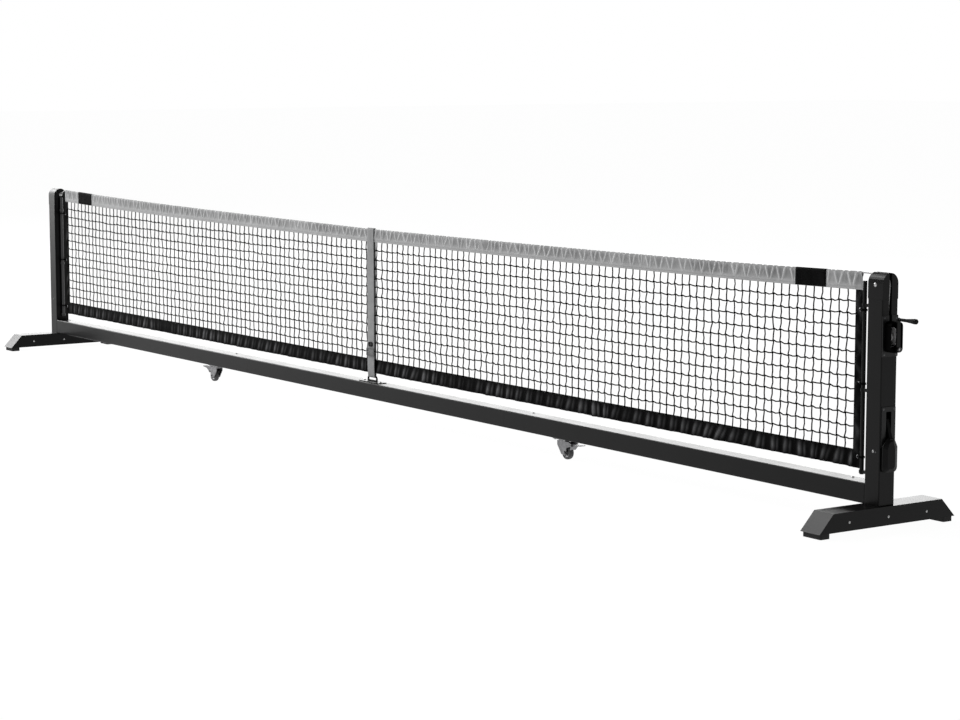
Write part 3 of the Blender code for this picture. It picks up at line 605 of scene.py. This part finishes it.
def make_wraps(paint):
    """Two blank black cloth wraps near the headband's ends."""
    for name, (near, far) in WRAPS.items():
        low, high = (near, far) if name == "right" else (-far, -near)
        stations = 24
        rows = []
        for i in range(stations):
            x = low + (high - low) * i / (stations - 1)
            top, bottom = tape_top(x) + 0.0006, tape_bottom(x) + 0.0010
            line = []
            for k in range(23):
                if k < 8:
                    y, z = -0.0066, bottom + (top - 0.0066 - bottom) * k / 8
                elif k < 15:
                    angle = math.pi * (k - 8) / 6
                    y, z = -0.0066 * math.cos(angle), top - 0.0066 + 0.0066 * math.sin(angle)
                else:
                    y, z = 0.0066, top - 0.0066 - (top - 0.0066 - bottom) * (k - 14) / 8
                y += 0.0004 * wander(x + z, 3, 60)
                line.append((x, y, z))
            rows.append(line)
        shape = Shape()
        shape.grid(rows, flip=True)
        wrap = shape.object("headband_wrap_" + name, "frame", paint, 80)
        with_uv(wrap, [p[0] for row in rows for p in row], [p[2] - tape_bottom(low) for row in rows for p in row])
        # The wraps take the dark end of the band's painted highlight and shade, with a slight random tone.
        with_folds(wrap, [-0.985 + 0.06 * wander(p[0] + 0.4 * p[2], 37, 45) for row in rows for p in row])
        solidify(wrap, 0.0008)


def make_bottom_band(paint):
    """A folded strip with deep upright folds where it is gathered on the lower cord."""
    stations = 1300
    low, high = BAND[0].z, BAND[1].z
    rows, us, vs, folds = [], [], [], []
    for i in range(stations):
        x = -BAND_HALF + 2 * BAND_HALF * i / (stations - 1)
        swing = 0.016 * wander(x, 21, 4) + 0.006 * wander(x, 23, 19)
        hem = low + 0.0016 * wander(x, 29, 18)
        line = []
        for k in range(19):
            if k < 8:
                side, rise = -1, 1 - k / 8
            elif k < 11:
                side, rise = (k - 9), 0.0
            else:
                side, rise = 1, (k - 10) / 8
            z = hem + (high - hem) * rise
            turn = (x + swing + (1 - rise) * (0.016 + 0.030 * wander(x, 25, 7))) / BAND_PITCH
            number = round(turn)
            strength = 0.80 + 0.80 * wander(number, 27, 0.41)
            ridge = math.exp(-((turn - number) * BAND_PITCH / 0.0105) ** 2)
            second = math.exp(-((turn - number - 0.36) * BAND_PITCH / 0.0070) ** 2)
            # lit is a painted highlight: the band's colour is made paler along the fold ridges, most of all halfway up,
            # and darker elsewhere.
            lit = strength * (ridge + 0.6 * second) * (0.12 + 0.88 * math.sin(math.pi * rise ** 0.8) ** 1.3)
            deep = 0.0018 - strength * (0.0056 * ridge + 0.0026 * second) * (0.25 + 0.75 * (1 - rise) ** 0.6)
            z += 0.002 if side == 0 else 0.0
            z -= 0.002 if k in (8, 9, 10) and side == 0 else 0.0
            y = side * (0.0012 + 0.0016 * (1 - abs(2 * rise - 1))) + deep
            line.append((x, y, z))
            us.append(x)
            vs.append(0.066 * (1 - rise) + 0.003)
            folds.append(2.4 * lit ** 1.5 - 1 + 0.08 * wander(x, 33, 30))
        rows.append(line)
    shape = Shape()
    shape.grid(rows)
    band = shape.object("bottom_band", "frame", paint, 80)
    with_uv(band, us, vs)
    with_folds(band, folds)
    solidify(band, 0.0009)
    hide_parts("net_bottom_band")


EYELET_Z = (0.777, 0.512, 0.246)
EYELET_X = 3.2735


def make_side_band(side, name, paint):
    low, high = box("net_side_band_" + name)
    inner, outer = sorted((abs(low.x), abs(high.x)))
    steps = 150
    rows, us, vs, folds = [], [], [], []
    for i in range(steps):
        rise = i / (steps - 1)
        z = low.z + (high.z - low.z) * rise
        billow = wander(z, 31 + side, 9)
        pinch = sum(math.exp(-((z - at) / 0.030) ** 2) for at in EYELET_Z)
        line = []
        for k in range(19):
            if k < 8:
                face, part = -1, k / 8
            elif k < 11:
                face, part = k - 9, 1.0
            else:
                face, part = 1, (18 - k) / 8
            ripple = 0.0030 * math.sin(math.tau * (z + 0.4 * (1 - part) * 0.03) / 0.105 + 2 * billow)
            x = outer - (outer - inner) * (1 - part) - 0.0012 * (1 - abs(face)) + 0.001 * pinch * part
            y = face * (0.0010 + 0.0014 * math.sin(math.pi * min(part, 1.0))) + ripple * math.sin(math.pi * part) * (1 + pinch)
            y += 0.0024 * billow * (1 - abs(2 * part - 1))
            line.append((side * min(x, outer), y, z))
            us.append(z)
            vs.append(0.004 + 0.036 * (1 - part))
            # Random pale streaks across the middle of the band's width: painted highlight on the black cloth.
            folds.append(-0.95 + 1.1 * max(0.0, wander(z + 0.5 * part * 0.07, 35 + side, 21)) * math.sin(math.pi * part))
        rows.append(line)
    shape = Shape()
    shape.grid(rows, flip=side > 0)
    band = shape.object("side_band_" + name, "frame", paint, 80)
    with_uv(band, us, vs)
    with_folds(band, folds)
    solidify(band, 0.0009)
    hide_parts("net_side_band_" + name)


def make_lacing(side, name, metal, cord):
    """Eyelets along the side band and the cord ties that hold them to the rod."""
    rings = Shape()
    ties = Shape()
    rod = box("net_rod_" + name)
    rod_x = (rod[0].x + rod[1].x) / 2
    for z in EYELET_Z:
        x = side * EYELET_X
        for face in (-1, 1):
            profile = ((0.0036, 0.0006, 0), (0.0040, 0.0014, 0), (0.0050, 0.0017, 0), (0.0064, 0.0010, 0),
                       (0.0066, 0.0, 0), (0.0034, -0.0002, 0))
            add_ring(rings, profile, (x, face * 0.0030, z), (0, face, 0))
        for lift in (-0.0022, 0.0022):
            ties.tube(tie_path(x, rod_x, z + lift, side), 0.0016, 8, closed=True)
    eyelets = rings.object("eyelets_" + name, "frame", metal)
    laces = ties.object("lacing_" + name, "frame", cord)


def add_ring(shape, profile, place, axis, sides=24):
    """A closed profile turned about an axis, open in the middle."""
    z = Vector(axis).normalized()
    x = z.orthogonal().normalized()
    y = z.cross(x)
    rings = []
    for radius, height, _ in profile:
        turn = [math.tau * k / sides for k in range(sides)]
        rings.append([Vector(place) + (x * math.cos(a) + y * math.sin(a)) * radius + z * height for a in turn])
    shape.grid(rings, closed_u=True, closed_v=True, flip=True)


def tie_path(eyelet_x, rod_x, z, side):
    """A loop through the eyelet and round the back of the rod."""
    reach = 0.0098
    points = []
    for k in range(13):
        angle = -math.pi / 2 + math.pi * k / 12
        points.append((rod_x + side * reach * math.cos(angle), reach * math.sin(angle), z))
    near = eyelet_x + side * 0.001
    for x, y in ((rod_x - side * 0.008, 0.0085), (near + side * 0.004, 0.0058), (near, 0.0040), (near, 0.0),
                 (near, -0.0040), (near + side * 0.004, -0.0058), (rod_x - side * 0.008, -0.0085)):
        points.append((x, y, z + 0.0006 * math.sin(400 * x)))
    return points


# ---------------------------------------------------------------- mesh

def make_cords(paint):
    """The knotted mesh: upright and level cords that kink a little at every knot."""
    half = BAND_HALF + 0.002
    foot = BAND[1].z - 0.006
    pitch = 2 * half / MESH_COLUMNS
    thick = 0.0026

    kink = 0.0016

    def level(x):
        return tape_bottom(x) + 0.004

    knots = np.zeros((MESH_COLUMNS + 1, MESH_ROWS + 1, 3))
    for i in range(MESH_COLUMNS + 1):
        x = -half + pitch * i
        for j in range(MESH_ROWS + 1):
            z = foot + (level(x) - foot) * j / MESH_ROWS
            loose = 0.0 if j in (0, MESH_ROWS) or i in (0, MESH_COLUMNS) else 1.0
            shift = noise.noise_vector(Vector((i * 0.83, j * 1.13, 4.2)))
            knots[i, j] = (x + 0.0056 * shift.x * loose, 0.0030 * shift.y * loose, z + 0.0040 * shift.z * loose)
    shape = Shape()
    for i in range(1, MESH_COLUMNS):
        path = []
        for j in range(MESH_ROWS):
            a, b = knots[i, j], knots[i, j + 1]
            bow = 0.0010 + 0.0024 * math.sin(i * 2.3 + j * 0.7)
            path.append(a + np.array((-kink, 0.0, 0.004 if j else 0.0)))
            path.append((a + b) / 2 + np.array((bow, 0.0005 * math.sin(i * 1.7 + j), 0.0)))
            path.append(b + np.array((kink, 0.0, -0.004)))
        path.append(knots[i, MESH_ROWS])
        shape.tube(path, thick, 6)
    for j in range(1, MESH_ROWS):
        path = []
        for i in range(MESH_COLUMNS):
            a, b = knots[i, j], knots[i + 1, j]
            droop = 0.0026 + 0.0016 * math.sin(i * 0.9 + 2 * j)
            path.append(a + np.array((0.004, -0.0010, kink)))
            path.append((a + b) / 2 + np.array((0.0, 0.0, -droop)))
            path.append(b + np.array((-0.004, -0.0010, -kink)))
        path.append(knots[MESH_COLUMNS, j])
        shape.tube(path, thick, 6)
    for i in range(1, MESH_COLUMNS):
        for j in range(1, MESH_ROWS):
            add_knot(shape, knots[i, j], 0.0038, i + j)
    cords = shape.object("net_cords", "frame", paint, 70)
    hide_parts("net_mesh")


def add_knot(shape, centre, radius, turn):
    """A small lump, longer than it is wide, lying across the cords."""
    tilt = 0.6 if turn % 2 else -0.6
    rows = []
    for lat in (-1.0, -0.6, 0.0, 0.6, 1.0):
        size = radius * math.sqrt(max(0.04, 1 - lat * lat))
        rows.append([
            (
                centre[0] + lat * radius * 1.5 * math.cos(tilt) - size * math.cos(a) * math.sin(tilt),
                centre[1] - 0.0005 + size * math.sin(a),
                centre[2] + lat * radius * 1.5 * math.sin(tilt) + size * math.cos(a) * math.cos(tilt),
            )
            for a in (math.tau * k / 6 for k in range(6))
        ])
    base = shape.grid(rows, closed_v=True, flip=True)
    shape.faces.append(tuple(base + k for k in range(6)))
    shape.faces.append(tuple(base + 24 + k for k in reversed(range(6))))


# ---------------------------------------------------------------- centre strap

def make_strap(paint, plastic, metal):
    low, high = box("centre_strap")
    x0, x1 = low.x - 0.003, high.x + 0.003
    top = high.z - 0.0008
    reach = 0.0093
    foot_reach = 0.0058
    foot = box("strap_ring")[1].z - 0.0033
    crown = top - reach

    def spread(z):
        """Half the loop's depth: narrow at the ring, full above it."""
        return foot_reach + (reach - foot_reach) * min(1.0, (z - foot) / 0.05)

    path = []
    for k in range(9):
        angle = math.pi * k / 8
        path.append((reach * math.cos(angle), crown + reach * math.sin(angle)))
    for k in range(1, 60):
        rise = 1 - k / 60
        z = foot + (crown - foot) * rise
        hug = 0.0016 * math.sin(math.pi * rise) + 0.0007 * wander(z, 51, 9) * rise
        path.append((-spread(z) + hug, z))
    for k in range(9):
        angle = math.pi * k / 8
        path.append((-foot_reach * math.cos(angle), foot - foot_reach * math.sin(angle)))
    for k in range(1, 60):
        rise = k / 60
        z = foot + (crown - foot) * rise
        drawn = 0.0032 * min(1.0, rise / 0.12, (1 - rise) / 0.06)
        path.append((spread(z) - drawn - 0.0004 * wander(z, 53, 9) * rise, z))
    across = 15
    rows = []
    for y, z in path:
        line = []
        for k in range(across):
            u = k / (across - 1)
            edge = 1 - abs(2 * u - 1) ** 6
            cup = 0.0005 * math.sin(math.pi * u) * (1 if y < 0 else -1)
            skew = 0.0035 * (1 + y / reach)
            x = x0 + 0.0005 + (x1 - x0 - 0.001) * u + 0.0004 * wander(z, 55, 14) - skew
            line.append((x, y - cup * edge, z))
        rows.append(line)
    shape = Shape()
    shape.grid(rows, closed_u=True, flip=True)
    strap = shape.object("strap_webbing", "frame", paint, 80)
    solidify(strap, 0.0015)
    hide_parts("centre_strap")

    a, b = box("strap_slider")
    centre = (a + b) / 2
    loop = Shape()
    half_w, half_h, corner = 0.0145, 0.0075, 0.0035
    front = a.y + 0.0028
    path = []
    for turn, (sx, sz) in enumerate(((1, 1), (-1, 1), (-1, -1), (1, -1))):
        for k in range(5):
            angle = math.pi / 2 * (turn + k / 4)
            x = centre.x + sx * (half_w - corner) + corner * math.cos(angle)
            path.append((x, front, centre.z + sz * (half_h - corner) + corner * math.sin(angle)))
    loop.tube(path, 0.0028, 10, closed=True)
    loop.tube([(centre.x - half_w, front, centre.z), (centre.x + half_w, front, centre.z)], 0.0016, 10)
    slider = loop.object("strap_loop", "frame", plastic)
    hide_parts("strap_slider")

    a, b = box("strap_buckle")
    bar = Shape()
    y, z = (a.y + b.y) / 2 - 0.001, (a.z + b.z) / 2
    bar.tube([(a.x + 0.003, y, z), (b.x - 0.003, y, z)], 0.0018, 12)
    cross = bar.object("buckle_bar", "frame", metal)


# ---------------------------------------------------------------- screws and small hardware

def button_screw(shape, place, axis, radius, height=None):
    """A domed head with a hexagon socket, on a thin washer."""
    height = height or radius * 0.55
    washer = radius * 1.28
    profile = (
        (washer, 0.0, 0),
        (washer, radius * 0.12, 0),
        (radius * 1.02, radius * 0.14, 0),
        (radius, radius * 0.30, 0),
        (radius * 0.86, height * 0.86, 0),
        (radius * 0.62, height, 0),
        (radius * 0.50, height, 6),
        (radius * 0.48, height * 0.35, 6),
    )
    shape.turned(profile, place, axis, 24)


def bolt_head(shape, place, axis, radius):
    """A hexagon head on a washer."""
    profile = (
        (radius * 1.35, 0.0, 0),
        (radius * 1.35, radius * 0.18, 0),
        (radius, radius * 0.20, 6),
        (radius, radius * 0.75, 6),
        (radius * 0.80, radius * 0.85, 0),
    )
    shape.turned(profile, place, axis, 24)


def make_screws(metal, dark):
    bar = box("base_bar_left")
    top = bar[1].z
    bright = Shape()
    dull = Shape()
    for x in (-3.292, -1.331, 1.258, 3.227):
        button_screw(bright, (x, 0.020, top + 0.0001), (0, 0, 1), 0.0050)
    for side in (-1, 1):
        leg = box("base_leg_" + ("left" if side < 0 else "right"))
        for y in (-0.188, 0.0, 0.188):
            button_screw(bright, (leg[0].x - 0.0001, y, 0.050), (-1, 0, 0), 0.0036)
            button_screw(bright, (leg[1].x + 0.0001, y, 0.050), (1, 0, 0), 0.0036)
        post = box("post_" + ("left" if side < 0 else "right"))
        x = (post[0].x + post[1].x) / 2 + 0.004
        for y, face in ((post[0].y - 0.0001, -1), (post[1].y + 0.0001, 1)):
            button_screw(bright if side > 0 else dull, (x, y, 0.283), (0, face, 0), 0.0040)
            if side > 0:
                button_screw(dull, (x + 0.013, y, 0.281), (0, face, 0), 0.0026)
    for name, half, inset in (("winch_plate", 0.0285, 0.0085), ("lever_plate", 0.0255, 0.0070)):
        low, high = box(name)
        for y in (-half, half):
            for z in (low.z + inset, high.z - inset):
                button_screw(dull, (high.x + 0.0001, y, z), (1, 0, 0), 0.0033)
    low, high = box("strap_anchor_plate")
    for x in (low.x + 0.016, high.x - 0.016):
        button_screw(bright, (x, 0.0, high.z + 0.0001), (0, 0, 1), 0.0055)
    screws = bright.object("frame_screws", "frame", metal, 30)
    plate_screws = dull.object("plate_screws", "frame", dark, 30)
    bolts = Shape()
    for side in ("left", "right"):
        low, high = box(side + "_caster_plate")
        centre = (low + high) / 2
        for dx in (-0.032, 0.032):
            for dy in (-0.022, 0.022):
                place = (centre.x + dx, centre.y + dy, high.z - 0.0031)
                bolt_head(bolts, place, (0, 0, -1), 0.0050)
    heads = bolts.object("caster_bolts", "frame", metal, 30)


def make_drum_wraps(paint):
    """Turns of the cable wound side by side on the drum."""
    low, high = box("winch_drum")
    x, z = (low.x + high.x) / 2, (low.z + high.z) / 2
    radius = 0.0149
    steps = 28
    path = []
    for k in range(int(3.2 * steps)):
        angle = math.tau * k / steps
        path.append((x - radius * math.cos(angle), 0.0046 - 0.0048 * k / steps, z - radius * math.sin(angle)))
    shape = Shape()
    shape.rope(path, 0.0022, 0.016)
    wraps = shape.object("drum_cable_wraps", "drum", paint, 70)


def cable_route():
    """The same route as the CAD cable's: anchor, tape, pulley and drum."""
    inside = 0.0042
    points = [(-3.3345, 0.8870), (-3.3150, 0.8985)]
    spread = [-TAPE_HALF + 2 * TAPE_HALF * i / 30 for i in range(31)]
    points += [(x, tape_top(x) - inside) for x in spread]
    low, high = box("cap_pulley")
    x, z = (low.x + high.x) / 2, (low.z + high.z) / 2
    radius = 0.0336
    turn = [math.radians(a) for a in range(92, -5, -4)]
    points += [(x + radius * math.cos(a), z + radius * math.sin(a)) for a in turn]
    low, high = box("steel_cable")
    points += [(3.4130, 0.800), (3.4087, low.z)]
    return [(x, 0.0, z) for x, z in points]


def make_cable(paint):
    """Wire rope: six strands twisted together."""
    route = resample(cable_route(), 0.0025)
    shape = Shape()
    shape.rope(route, 0.0025, 0.022)
    rope = shape.object("steel_rope", "frame", paint, 70)
    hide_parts("steel_cable")


def make_cable_end(metal):
    """The crimped sleeve and the thimble eye at the cable's fixed end."""
    shape = Shape()
    low, high = box("cable_anchor")
    z = (low.z + high.z) / 2
    shape.tube([(-3.3330, 0, z + 0.0038), (-3.3300, 0, z + 0.0055), (-3.3170, 0, 0.8973), (-3.3150, 0, 0.8984)],
               [0.0034, 0.0044, 0.0044, 0.0034], 12)
    sleeve = shape.object("cable_ferrule", "frame", metal)
    loop = Shape()
    path = []
    for k in range(20):
        angle = math.tau * k / 20
        path.append((-3.3400, 0.0078 * math.cos(angle), z + 0.0078 * math.sin(angle)))
    loop.tube(path, 0.0020, 8, closed=True)
    eye = loop.object("cable_eye", "frame", metal)


# ---------------------------------------------------------------- casters

def make_wheel(side, tread, hub_paint, metal):
    """A rounded tread on a dished hub, with a bearing cap."""
    low, high = box(side + "_caster_wheel")
    centre = (low + high) / 2
    radius = (high.z - low.z) / 2
    tyre = Shape()
    profile = []
    for k in range(15):
        angle = math.pi * k / 14
        profile.append((radius - 0.0046 + 0.0046 * math.sin(angle) ** 0.7, 0.0109 * math.cos(angle), 0))
    profile += [(radius - 0.0085, -0.0100, 0), (radius - 0.0085, 0.0100, 0)]
    add_ring(tyre, profile, centre, (0, 1, 0), 64)
    ring = tyre.object(side + "_wheel_tread", side + "_caster_roller", tread, 50)
    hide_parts(side + "_caster_wheel")
    hub = Shape()
    profile = ((radius - 0.0088, 0.0095, 0), (radius - 0.0105, 0.0098, 0), (0.0150, 0.0066, 0), (0.0105, 0.0068, 0),
               (0.0090, 0.0125, 0), (0.0046, 0.0128, 0), (0.0046, -0.0128, 0), (0.0090, -0.0125, 0),
               (0.0105, -0.0068, 0), (0.0150, -0.0066, 0), (radius - 0.0105, -0.0098, 0), (radius - 0.0088, -0.0095, 0))
    add_ring(hub, profile, centre, (0, 1, 0), 48)
    for k in range(5):
        angle = math.tau * k / 5
        turn = Matrix.Rotation(angle, 3, "Y")
        for face in (-1, 1):
            low_y, high_y = sorted((face * 0.0066, face * 0.0086))
            start = Vector((centre.x - 0.0011, low_y, centre.z + 0.0098))
            end = Vector((centre.x + 0.0011, high_y, centre.z + radius - 0.0100))
            hub.box(start, end, turn, centre)
    core = hub.object(side + "_wheel_hub", side + "_caster_roller", hub_paint, 35)


# ---------------------------------------------------------------- everything

make_camera()
make_world()
make_floor()
softbox("left_box", (-11.0, -5.0, 2.0), (-1.0, 0.0, 0.5), (5.0, 3.6), 5.0)
softbox("high_left_box", (-12.5, -1.6, 5.2), (-1.0, 0.0, 0.3), (6.0, 3.6), 10.0)
softbox("top_box", (-3.0, -2.6, 6.5), (2.0, 0.0, 0.2), (7.0, 3.0), 7.0)
softbox("back_box", (-6.0, 7.0, 2.6), (-0.5, 0.0, 0.3), (16.0, 4.5), 3.4)

paints = make_finishes()
powder_nodes = [n for n in NODES if n.startswith(("post_", "base_", "rod_clip", "net_rod"))]
dress(paints["powder"], *powder_nodes, "crank_arm", "strap_anchor_plate")
soften(0.0035, "post_cap_left", "post_cap_right")
dress(paints["plate"], "winch_plate", "lever_plate")
# The left rod and its clips take the lighter copy of the black coat: painted light.
dress(paints["painted_lit_rod_coat"], "net_rod_left", *[n for n in NODES if n.startswith("rod_clip_left")])
dress(paints["sheave"], "cap_pulley")
dress(paints["dark_steel"], "crank_nut", "strap_buckle")
dress(paints["steel"], "pulley_axle", "cable_anchor", "grip_rivet", "lever_pin", "drum_axle", "joiner_sleeve_left", "joiner_sleeve_right")
dress(paints["gear"], "winch_drum", "winch_gear", "worm_shaft")
caster_parts = ("plate", "fork", "pedal", "axle")
dress(paints["worn_steel"], *[s + "_caster_" + p for s in ("left", "right") for p in caster_parts])
dress(paints["rubber"], *[n for n in NODES if n.startswith("foot_pad")])
dress(paints["plastic"], "crank_grip", "strap_slider", "strap_ring", "tension_lever")
dress(paints["housing"], "winch_housing")

make_headband(paints["tape"])
make_wraps(paints["band"])
make_bottom_band(paints["band"])
for sign, label in ((-1, "left"), (1, "right")):
    make_side_band(sign, label, paints["band"])
    make_lacing(sign, label, paints["worn_steel"], paints["cord"])
    make_wheel(label, paints["tread"], paints["worn_steel"], paints["steel"])
make_cords(paints["cord"])
make_strap(paints["webbing"], paints["housing"], paints["dark_steel"])
make_screws(paints["steel"], paints["dark_steel"])
make_drum_wraps(paints["wire"])
make_cable_end(paints["steel"])
make_cable(paints["wire"])
